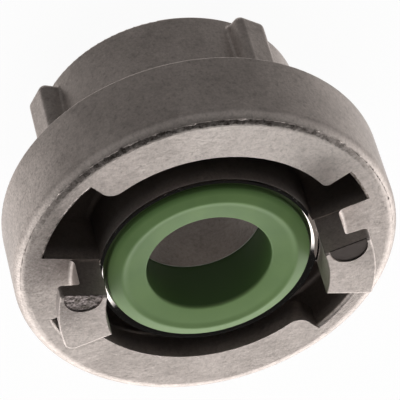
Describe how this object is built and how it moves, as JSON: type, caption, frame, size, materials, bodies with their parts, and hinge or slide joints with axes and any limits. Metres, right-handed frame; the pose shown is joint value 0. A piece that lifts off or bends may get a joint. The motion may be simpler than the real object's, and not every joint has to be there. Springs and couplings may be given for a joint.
{
  "type": "hose coupling",
  "caption": "Fixed hose coupling: a ribbed hub with an inside pipe thread, a slotted ring with hooked lugs for a quarter-turn joint, and a rubber face seal.",
  "frame": {"origin": "middle of the hub's end face, on the waterway's axis", "axes": "+Z along the waterway from the threaded hub towards the lugs; +X through the middle of one lug"},
  "size_m": [0.0538, 0.0536, 0.0358],
  "materials": {
    "cast_aluminium": "as cast, tumbled, with turned collar and lug faces",
    "green_rubber": "matt moulded green rubber"
  },
  "bodies": {
    "root": {"coupling_body": "cast_aluminium", "seal": "green_rubber"}
  },
  "joints": []
}
